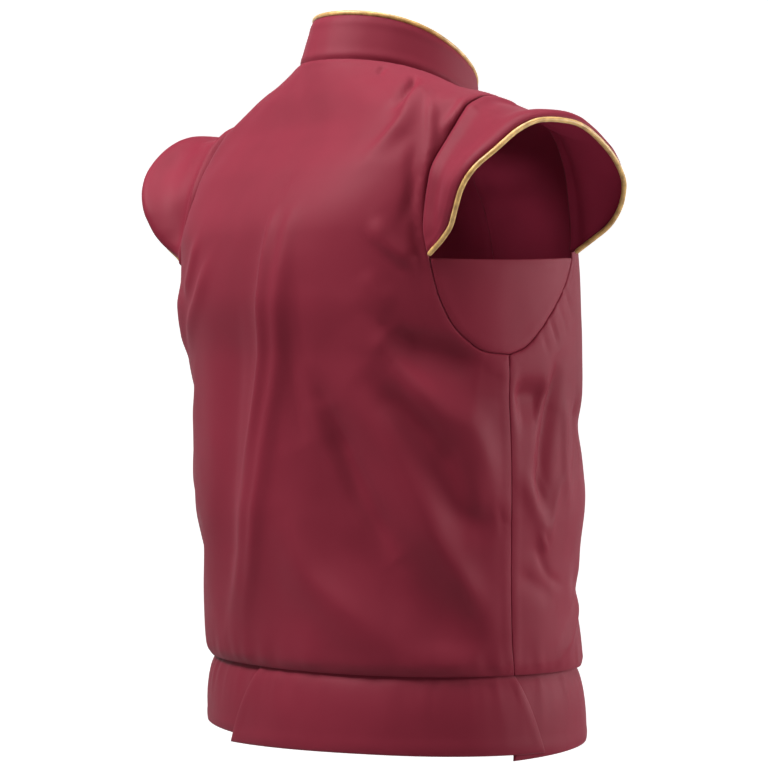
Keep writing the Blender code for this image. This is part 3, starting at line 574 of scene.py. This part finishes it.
def meshPiece(name, points, faces, flat, looks):
    # a smooth mesh, picked alone, with its flat layout as UV map
    mesh = bpy.data.meshes.new(name)
    mesh.from_pydata([tuple(p) for p in points], [], [tuple(int(i) for i in face) for face in faces])
    mesh.validate()
    layer = mesh.uv_layers.new(name="UVMap")
    corner = np.zeros(len(mesh.loops), np.int32)
    mesh.loops.foreach_get("vertex_index", corner)
    layer.data.foreach_set("uv", (flat[corner] * cloth["uvScale"]).astype(np.float32).ravel())
    mesh.shade_smooth()
    for look in looks:
        mesh.materials.append(look)
    obj = bpy.data.objects.new(name, mesh)
    bpy.context.scene.collection.objects.link(obj)
    bpy.ops.object.select_all(action="DESELECT")
    bpy.context.view_layer.objects.active = obj
    obj.select_set(True)
    return obj


def putOn(obj, node):
    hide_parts(node)
    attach(obj, "root")
    print(obj.name, "made:", len(obj.data.polygons), "faces")
    return obj


def makeCloth(node, points, faces, flat, facing):
    # a closed wall of cloth whose outer face is this surface
    corners = [points[[face[k] for face in faces]] for k in range(3)]
    outward = facing((corners[0] + corners[1] + corners[2]) / 3)
    if np.sum(np.cross(corners[1] - corners[0], corners[2] - corners[0]) * outward) < 0:
        faces = [face[::-1] for face in faces]
    obj = meshPiece(node + "_cloth", points, faces, flat, (burgundy, liningWithPaintedLight))
    wall = obj.modifiers.new("Wall", "SOLIDIFY")
    wall.thickness = cloth["thick"]
    wall.offset = -1
    wall.use_even_offset = False
    # inner faces take the lining, whose lighter colour is painted light
    wall.material_offset = 1
    wall.material_offset_rim = 0
    bpy.ops.object.modifier_apply(modifier="Wall")
    return putOn(obj, node)


def fromMiddle(p):
    return np.stack([p[:, 0], p[:, 1] - bodyShape["middle"], 0 * p[:, 2]], -1)


def setInputs(shader, values):
    for name, value in values.items():
        shader.inputs[name].default_value = value


def addNode(tree, kind, values, **settings):
    made = tree.nodes.new("ShaderNode" + kind)
    for name, value in settings.items():
        setattr(made, name, value)
    setInputs(made, values)
    return made


def principled(name):
    look = bpy.data.materials.new(name)
    look.use_nodes = True
    return look, look.node_tree, look.node_tree.nodes["Principled BSDF"]


def twoTone(tree, shader, source, ends, colours):
    # the base colour runs from one tone to the other as the source does between these ends
    tone = addNode(tree, "ValToRGB", {})
    for element, position, colour in zip(tone.color_ramp.elements, ends, colours):
        element.position, element.color = position, colour
    tree.links.new(source, tone.inputs["Fac"])
    tree.links.new(tone.outputs["Color"], shader.inputs["Base Color"])


def threadRelief(tree, shader, place, strength, deep, values):
    # slanting threads in low relief
    threads = addNode(tree, "TexWave", values, wave_type="BANDS", bands_direction="DIAGONAL")
    bump = addNode(tree, "Bump", {"Strength": strength, "Distance": deep})
    tree.links.new(place.outputs["UV"], threads.inputs["Vector"])
    tree.links.new(threads.outputs["Fac"], bump.inputs["Height"])
    tree.links.new(bump.outputs["Normal"], shader.inputs["Normal"])


def suitingLook(name, dark, light, rough, shine, sheen):
    # smooth twill suiting: a fine diagonal weave, a little uneven in tone, with a soft sheen
    look, tree, shader = principled(name)
    link = tree.links.new
    place = addNode(tree, "TexCoord", {})
    threads = addNode(tree, "TexNoise", {"Scale": 240.0, "Detail": 2.0})
    cloud = addNode(tree, "TexNoise", {"Scale": 9.0, "Detail": 3.0})
    cloudPart = addNode(tree, "Math", {1: 0.84}, operation="MULTIPLY")
    both = addNode(tree, "Math", {1: 0.16}, operation="MULTIPLY_ADD")
    link(place.outputs["UV"], threads.inputs["Vector"])
    link(place.outputs["Object"], cloud.inputs["Vector"])
    link(cloud.outputs["Fac"], cloudPart.inputs[0])
    link(threads.outputs["Fac"], both.inputs[0])
    link(cloudPart.outputs[0], both.inputs[2])
    twoTone(tree, shader, both.outputs[0], (0.3, 0.7), (dark, light))
    threadRelief(tree, shader, place, 0.35, 0.00012, {"Scale": 70.0, "Distortion": 0.6, "Detail": 1.0})
    setInputs(shader, {
        "Roughness": rough, "Specular IOR Level": shine, "Sheen Weight": sheen, "Sheen Roughness": 0.4,
        "Sheen Tint": (1.0, 0.42, 0.52, 1.0),
    })
    return look


def satinLook():
    # gold satin cut on the bias: floats of thread at a slant, glossy along the cord
    look, tree, shader = principled("goldSatin")
    place = addNode(tree, "TexCoord", {})
    cloud = addNode(tree, "TexNoise", {"Scale": 14.0, "Detail": 3.0})
    tree.links.new(place.outputs["UV"], cloud.inputs["Vector"])
    dark, light = (0.32, 0.165, 0.035, 1.0), (0.68, 0.41, 0.12, 1.0)
    twoTone(tree, shader, cloud.outputs["Fac"], (0.32, 0.68), (dark, light))
    threadRelief(tree, shader, place, 0.3, 0.00008, {"Scale": 60.0, "Distortion": 1.5})
    setInputs(shader, {"Roughness": 0.38, "Specular IOR Level": 0.6, "Sheen Weight": 0.2})
    return look


burgundy = suitingLook(
    "burgundySuiting", (0.148, 0.0108, 0.0232, 1.0), (0.178, 0.0138, 0.0290, 1.0),
    rough=0.55, shine=0.12, sheen=0.06,
)
# the cloth's inner face: the same burgundy suiting, coloured about half as light again as the outer face,
# which is painted light to brighten the inside of the doublet
liningWithPaintedLight = suitingLook(
    "burgundyLiningPaintedLight", (0.230, 0.0200, 0.045, 1.0), (0.280, 0.0245, 0.055, 1.0),
    rough=0.7, shine=0.02, sheen=0.0,
)
gold = satinLook()
print("materials made")


def makePanel(node, runs, side, lap=False):
    flat, faces, distance, where = flatPanel(runs)
    degrees = np.degrees(flat[:, 0] / bodyShape["round"])
    hole = armhole(0, len(armholeShape["rows"]))
    oneSide = np.stack([np.abs(flat[:, 0]), flat[:, 1]], -1)
    fromHole = distanceTo(oneSide, laidFlat(*hole[:-1].T))[0]
    plainRoll, holeRoll = cloth["roll"]
    out = edgeHeight(distance, where, holeRoll + (plainRoll - holeRoll) * ease(fromHole, *cloth["rollReach"]))
    if lap:
        out += bodyShape["layer"] * ease(degrees, *bodyShape["lap"])
    points = bodyPoint(degrees * side, flat[:, 1], out)
    return makeCloth(node, points, faces, flat * (side, 1), fromMiddle)


def backRuns():
    side, shoulder, neck = bodyShape["sideSeam"], bodyShape["shoulderSeam"], bodyShape["neck"]
    corner, top = armholeShape["backCorner"], armholeShape["top"]
    right = np.vstack([armhole(0, corner)[:-1], armhole(corner, top)])
    left = right[::-1] * (-1, 1)
    return [
        straight((-side, 0.0), (side, 0.0)),
        straight((side, 0.0), right[0]),
        right,
        straight(right[-1], (shoulder, neck)),
        straight((shoulder, neck), (-shoulder, neck)),
        straight((-shoulder, neck), left[0]),
        left,
        straight(left[-1], (-side, 0.0)),
    ]


def frontRuns():
    side, shoulder, edge, neck = (bodyShape[k] for k in ("sideSeam", "shoulderSeam", "frontEdge", "neck"))
    corner, top, last = armholeShape["frontCorner"], armholeShape["top"], len(armholeShape["rows"])
    hole = np.vstack([armhole(top, corner)[:-1], armhole(corner, last)])
    return [
        straight((side, 0.0), (edge, 0.0)),
        straight((edge, 0.0), (edge, neck)),
        straight((edge, neck), (shoulder, neck)),
        straight((shoulder, neck), hole[0]),
        hole,
        straight(hole[-1], (side, 0.0)),
    ]


def insetRuns():
    back, front, last = armholeShape["backCorner"], armholeShape["frontCorner"], len(armholeShape["rows"])
    low = np.vstack([armhole(front, last)[:-1], armhole(0, back)])
    top = straight(low[-1], low[0])
    share = np.linspace(0, 1, len(top))
    top[:, 1] -= armholeShape["topSag"] * 4 * share * (1 - share)
    return [low, top]


backCloth = makePanel("back", backRuns(), 1)
frontRight = makePanel("front_right", frontRuns(), 1)
frontLeft = makePanel("front_left", frontRuns(), -1, lap=True)
insetRight = makePanel("underarm_inset_right", insetRuns(), 1)
insetLeft = makePanel("underarm_inset_left", insetRuns(), -1)
print("panels made")


def gridCloth(node, points, flat, distance, where, facing, bumps, roll=cloth["roll"][1]):
    # a panel made as rows of points: its edges turn in, and bumps is moved out along its normals
    rows, columns = points.shape[:2]
    normal = gridNormals(points)
    outward = facing(points.reshape(-1, 3)).reshape(points.shape)
    if np.sum(normal * outward) < 0:
        normal = -normal
    out = edgeHeight(distance.ravel(), where.ravel(), roll).reshape(rows, columns) + bumps
    moved = points + normal * out[..., None]
    return makeCloth(node, moved.reshape(-1, 3), gridFaces(rows, columns), flat.reshape(-1, 2), facing)


def edgeSpaced(count, length):
    # shares from 0 to 1 with the rows of points of a turned edge at both ends
    ends = np.array(cloth["insets"]) / length
    middle = np.linspace(ends[-1], 1 - ends[-1], max(2, count))
    return np.concatenate([ends[:-1], middle, 1 - ends[:-1][::-1]])


def collarPoint(degrees, up):
    low, high = plainBody(degrees, bodyShape["neck"]), ringPoint(degrees, collarShape["top"])
    up = np.asarray(up)[..., None]
    tuck = collarShape["footIn"] * hump(np.maximum(up, 0), 0, collarShape["footReach"])
    return low + (high - low) * up + outwardAt(degrees) * (collarShape["bulge"] * 4 * up * (1 - up) - tuck)


def makeCollar():
    length, tall, foot, end = (collarShape[k] for k in ("length", "tall", "foot", "end"))
    along = edgeSpaced(collarShape["round"], length)
    ups = foot + (1 - foot) * edgeSpaced(collarShape["up"], tall)
    degrees, up = np.meshgrid((2 * along - 1) * end, ups)
    flat = np.stack([degrees / 360 * length, up * tall], -1)
    fromPiping = (1 - up) * tall
    distance = np.minimum.reduce([(up - ups[0]) * tall, fromPiping, (end - np.abs(degrees)) / 360 * length])
    bumps = waves(flat, collarShape["waves"])
    bumps += waves(flat, [collarShape["ease"]]) * np.exp(-fromPiping / collarShape["easeReach"])
    bumps *= ease(distance, 0, collarShape["calm"])
    points = collarPoint(degrees, up)
    return gridCloth("collar", points, flat, distance, flat[..., 0], fromMiddle, bumps, cloth["roll"][0])


def makePiping(node, rim, wayOut, inward):
    # satin over a cord: a tube beside the rim, a little wrinkled on the bias
    plainRadius, sides = pipingShape["radius"], pipingShape["sides"]
    path = rim + wayOut * (plainRadius + pipingShape["gap"]) + inward * pipingShape["inward"]
    count = max(8, round(lengthOf(path) / pipingShape["step"]))
    both = curveThrough(np.hstack([path, inward]), count)
    path, inward = both[:, :3], both[:, 3:]
    way = unit(np.gradient(path, axis=0))
    inward = squareTo(inward, way)
    third = np.cross(way, inward)
    run, angle = np.meshgrid(runAlong(path), np.arange(sides) / sides * 2 * math.pi, indexing="ij")
    apart, turns = pipingShape["slant"]
    roundness, change = pipingShape["change"]
    slant = run / apart + angle / (2 * math.pi) * turns
    wave = np.array([
        noise.noise(Vector((s, roundness * math.cos(a), roundness * math.sin(a) + r / change)))
        for s, a, r in zip(slant.ravel(), angle.ravel(), run.ravel())
    ]).reshape(slant.shape)
    # both ends are turned in round
    fromEnd = np.clip(np.minimum(run, run[-1] - run) / plainRadius, 0, 1)
    turnedIn = np.sqrt(np.clip(1 - (1 - fromEnd) ** 2, pipingShape["endLeast"], 1))
    radius = (plainRadius + pipingShape["wrinkle"] * wave) * turnedIn
    across = np.cos(angle)[..., None] * inward[:, None] + np.sin(angle)[..., None] * third[:, None]
    points = path[:, None] + radius[..., None] * across
    faces = [
        (i * sides + j, i * sides + (j + 1) % sides, (i + 1) * sides + (j + 1) % sides, (i + 1) * sides + j)
        for i in range(count - 1)
        for j in range(sides)
    ]
    faces += [tuple(range(sides)), tuple(range((count - 1) * sides, count * sides))]
    flat = np.stack([run, angle * plainRadius], -1).reshape(-1, 2)
    obj = meshPiece(node + "_satin", points.reshape(-1, 3), faces, flat, [gold])
    bpy.ops.object.mode_set(mode="EDIT")
    bpy.ops.mesh.select_all(action="SELECT")
    bpy.ops.mesh.normals_make_consistent(inside=False)
    bpy.ops.object.mode_set(mode="OBJECT")
    return putOn(obj, node)


def makeCollarPiping():
    count = collarShape["pipingPoints"]
    degrees = np.linspace(-collarShape["pipingEnd"], collarShape["pipingEnd"], count)
    top = collarPoint(degrees, np.ones(count))
    rise = unit(top - collarPoint(degrees, np.full(count, collarShape["riseFrom"])))
    makePiping("collar_piping", top, rise, -outwardAt(degrees))


def capCurves(side, count):
    # its foot, inside the armhole's edge, and its outer edge beside the piping
    seam = armhole(armholeShape["backCorner"], armholeShape["frontCorner"], capShape["seamStep"])
    seam = curveThrough(laidFlat(*seam.T), capShape["fine"])
    seam = seam + unit(seam.mean(axis=0) - seam) * capShape["gap"]
    foot = bodyPoint(np.degrees(seam[:, 0] / bodyShape["round"]) * side, seam[:, 1], -capShape["footDepth"])
    free = int(capShape["fine"] * capShape["freeEnd"])
    foot = curveThrough(foot[free:capShape["fine"] - free - 1], count)
    left = side < 0
    edge = np.array([(-side * (r[0] - left * r[4]), r[1], r[2] + left * r[3]) for r in capShape["edge"]])
    edge = curveThrough(edge, count)
    return foot, edge - unit(edge - foot) * (2 * pipingShape["radius"] + pipingShape["beside"])


def makeCap(sideName, side):
    left = int(side < 0)
    seed, sag = capShape["seed"][left], capShape["sag"][left]
    bulge, bulgeAt, bulgeWide = capShape["bulge"][left]
    ends = edgeSpaced(capShape["round"], capShape["length"])
    shares = edgeSpaced(capShape["across"], capShape["deep"])
    fine = np.linspace(0, 1, capShape["edgeFine"])
    foot, edge = (readAt(ends, fine, curve) for curve in capCurves(side, capShape["edgeFine"]))
    reach = edge - foot
    length = np.linalg.norm(reach, axis=1)[:, None]
    out = unit(np.cross(reach, np.gradient(foot + edge, axis=0)) * side)
    full = np.minimum(1, length / capShape["fullReach"])
    rows = []
    for v in shares:
        toEdge = (1 - v) * length
        swell = bulge * hump(toEdge, bulgeAt, bulgeWide) * (1 - np.exp(-toEdge / capShape["bulgeIn"]))
        rows.append(foot + reach * v + out * full * (swell - sag * 4 * v * (1 - v)))
    points = np.stack(rows)
    middle = np.array(capShape["middle"]) * (side, 1, 1)

    def away(p):
        return p - middle

    v = np.broadcast_to(shares[:, None], points.shape[:2])
    fromFoot, fromEdge = v * length[:, 0], (1 - v) * length[:, 0]
    fromEnds = np.broadcast_to(np.minimum(ends, 1 - ends) * capShape["length"], v.shape)
    distance = np.minimum.reduce([fromFoot, fromEdge, fromEnds])
    run = np.broadcast_to(ends * capShape["flatLength"], v.shape)
    flat = np.stack([run, fromFoot], -1)
    roll, rollAt, rollWide = capShape["footRoll"][left]
    dip, dipAt, dipWide = capShape["footDip"]
    bumps = waves(flat, capShape["waves"], seed)
    bumps = bumps + roll * hump(fromFoot, rollAt, rollWide) - dip * hump(fromFoot, dipAt, dipWide)
    bumps += waves(flat, [capShape["ease"]], seed) * np.exp(-fromEdge / capShape["easeReach"])
    bumps *= ease(distance, 0, capShape["calm"])
    made = gridCloth("sleeve_cap_" + sideName, points, flat, distance, run, away, bumps)
    rim = points[-1]
    wayOut = unit(rim - points[-4])
    makePiping("cap_piping_" + sideName, rim, wayOut, squareTo(middle - rim, wayOut))
    return made


def tabPoint(tab, along, down):
    spread = down ** tabShape["flare"]
    first = tab["first"] - tab["spreadFirst"] * spread
    last = tab["last"] + tab["spreadLast"] * spread
    degrees = first + (last - first) * along
    outward = outwardAt(degrees)
    top = plainBody(degrees, 0.0) - outward * tabShape["inward"]
    top[..., 2] += tabShape["tuck"]
    low = ringPoint(degrees, tabShape["hem"])
    low[..., 2] -= smoothThrough([0, 0.5, 1], [tab["dropFirst"], tab["dropMiddle"], tab["dropLast"]], along)
    layers = tab["overFirst"] + (tab["overLast"] - tab["overFirst"]) * ease(along, *tabShape["overRange"])
    below = np.maximum(down - tabShape["edgeRow"], 0) / (1 - tabShape["edgeRow"])
    bow, skew = tabShape["bow"]
    out = layers * tabShape["layer"] + bow * np.sin(math.pi * below**skew)
    return top + (low - top) * down[..., None] + outward * out[..., None], degrees


def makeTab(row):
    tab = dict(zip(tabShape["columns"], row))
    length = math.radians(tab["last"] - tab["first"]) * bodyShape["round"]
    tall = tabShape["tall"]
    alongs = edgeSpaced(round(length / tabShape["step"]), length)
    downs = edgeSpaced(round(tall / tabShape["step"]), tall)
    along, down = np.meshgrid(alongs, downs)
    points, degrees = tabPoint(tab, along, down)
    fromSide, fromHem = np.minimum(along, 1 - along) * length, (1 - down) * tall
    distance = np.minimum(fromSide, fromHem)
    where = np.where(fromSide < fromHem, down * tall, along * length)
    flat = np.stack([np.radians(degrees) * bodyShape["round"], -down * tall], -1)
    seed = sum(ord(letter) for letter in tab["name"]) % 17
    height, *gather = tabShape["gather"]
    fromUp, fullFrom, goOut = tabShape["gatherReach"]
    below = np.maximum(down * tall - tabShape["tuck"], 0)
    fold = np.maximum(waves(flat, [(1.0, *gather)], seed), tabShape["gatherLeast"])
    lift, at, wide = tabShape["hemFold"]
    bumps = waves(flat, tabShape["waves"], seed)
    bumps += height * fold * hump(below, 0, goOut) * ease(below, fromUp, fullFrom)
    bumps = (bumps + lift * hump(fromHem, at, wide)) * ease(distance, 0, tabShape["calm"])
    return gridCloth(tab["name"], points, flat, distance, where, fromMiddle, bumps)


collarCloth = makeCollar()
makeCollarPiping()
capRight, capLeft = makeCap("right", 1), makeCap("left", -1)
tabs = [makeTab(row) for row in tabShape["rows"]]
print("collar, caps and tabs made")


studio = {
    "away": 2.4,
    "level": -0.238,
    "degrees": 55.0,  # how far round from the centre back the camera stands
    "lens": 140.6,
    "shift": -0.0143,
    "floor": -2.05,
    "radius": 7.0,
    "height": 5.25,
    "bend": 0.5,
    "glow": (0.12, 0.75),  # of the wall all round, and behind the doublet
    "glowRange": (0.90, 0.98),  # cosines of how far round that is
    "sky": 0.04,
    "lampSize": 1.2,
    "lights": (
        # name, metres to the right of the view, towards the camera and up, watts
        ("overhead", 0.0, 0.0, 2.4, 50.0),
        ("keyLeft", -1.6, 0.5, 1.8, 86.0),
        ("near", 0.0, 1.8, 1.9, 18.0),
        ("nearRight", 1.3, 1.6, 1.5, 7.0),
        ("right", 2.4, 0.2, 0.3, 46.0),
        ("rimRight", 2.1, -1.0, 0.4, 12.0),
    ),
}


def stand(name, data, place, way):
    # a camera or lamp at this place, turned this way
    obj = bpy.data.objects.new(name, data)
    bpy.context.scene.collection.objects.link(obj)
    obj.location = place
    obj.rotation_mode = "QUATERNION"
    obj.rotation_quaternion = way.to_track_quat("-Z", "Y")
    return obj


def openRoom():
    # a round room without a ceiling, its wall and floor joined in a bend
    low = -studio["height"] / 2
    bpy.ops.object.select_all(action="DESELECT")
    bpy.ops.mesh.primitive_cylinder_add(
        vertices=128, radius=studio["radius"], depth=studio["height"], location=(0, 0, studio["floor"] - low),
    )
    room = bpy.context.object
    room.name = "floor_sweep"
    bpy.ops.object.mode_set(mode="EDIT")
    bpy.ops.mesh.select_mode(type="FACE")
    bpy.ops.mesh.select_all(action="DESELECT")
    bpy.ops.object.mode_set(mode="OBJECT")
    for face in room.data.polygons:
        face.select = face.normal.z > 0.9
    bpy.ops.object.mode_set(mode="EDIT")
    bpy.ops.mesh.delete(type="FACE")
    bpy.ops.mesh.select_mode(type="EDGE")
    bpy.ops.object.mode_set(mode="OBJECT")
    for edge in room.data.edges:
        edge.select = all(abs(room.data.vertices[v].co.z - low) < 1e-4 for v in edge.vertices)
    bpy.ops.object.mode_set(mode="EDIT")
    bpy.ops.mesh.bevel(offset=studio["bend"], segments=8)
    bpy.ops.mesh.select_all(action="SELECT")
    bpy.ops.mesh.normals_make_consistent(inside=True)
    bpy.ops.object.mode_set(mode="OBJECT")
    bpy.ops.object.shade_smooth()
    return room


def roomLook(backwards):
    # pale all over; the wall glows, most behind the doublet, and the floor doesn't
    look, tree, shader = principled("paleFloor")
    link = tree.links.new
    low = -studio["height"] / 2
    glow, glowRange = studio["glow"], studio["glowRange"]
    place, split = addNode(tree, "TexCoord", {}), addNode(tree, "SeparateXYZ", {})
    behind = addNode(tree, "VectorMath", {1: -backwards / studio["radius"]}, operation="DOT_PRODUCT")
    spread = addNode(tree, "MapRange", {
        "From Min": glowRange[0], "From Max": glowRange[1], "To Min": glow[0], "To Max": glow[1],
    })
    rise = addNode(tree, "MapRange", {"From Min": low, "From Max": low + studio["bend"]})
    both = addNode(tree, "Math", {}, operation="MULTIPLY")
    link(place.outputs["Object"], behind.inputs[0])
    link(behind.outputs["Value"], spread.inputs["Value"])
    link(place.outputs["Object"], split.inputs["Vector"])
    link(split.outputs["Z"], rise.inputs["Value"])
    link(spread.outputs["Result"], both.inputs[0])
    link(rise.outputs["Result"], both.inputs[1])
    link(both.outputs[0], shader.inputs["Emission Strength"])
    setInputs(shader, {
        "Base Color": (0.75, 0.75, 0.75, 1.0), "Roughness": 0.9, "Specular IOR Level": 0.0,
        "Emission Color": (1.0, 1.0, 1.0, 1.0),
    })
    return look


def makeStudio():
    turn = math.radians(studio["degrees"])
    backwards = Vector((-math.sin(turn), math.cos(turn), 0.0))
    rightwards = Vector((-math.cos(turn), -math.sin(turn), 0.0))
    target = Vector((0.0, 0.0, studio["level"]))
    camera = bpy.data.cameras.new("camera")
    camera.lens = studio["lens"]
    camera.sensor_width = 36.0
    camera.shift_x = studio["shift"]
    camera.clip_end = 60.0
    bpy.context.scene.camera = stand("camera", camera, target + backwards * studio["away"], -backwards)

    for name, right, near, up, watts in studio["lights"]:
        data = bpy.data.lights.new(name, "AREA")
        data.shape = "DISK"
        data.size = studio["lampSize"]
        data.energy = watts
        place = target + rightwards * right + backwards * near + Vector((0, 0, up))
        stand(name, data, place, target - place).visible_camera = False

    room = openRoom()
    room.data.materials.append(roomLook(backwards))

    world = bpy.data.worlds.new("softLight")
    bpy.context.scene.world = world
    world.use_nodes = True
    setInputs(world.node_tree.nodes["Background"], {"Color": (1.0, 1.0, 1.0, 1.0), "Strength": studio["sky"]})
    bpy.context.scene.view_settings.view_transform = "Standard"


makeStudio()
print("studio made")
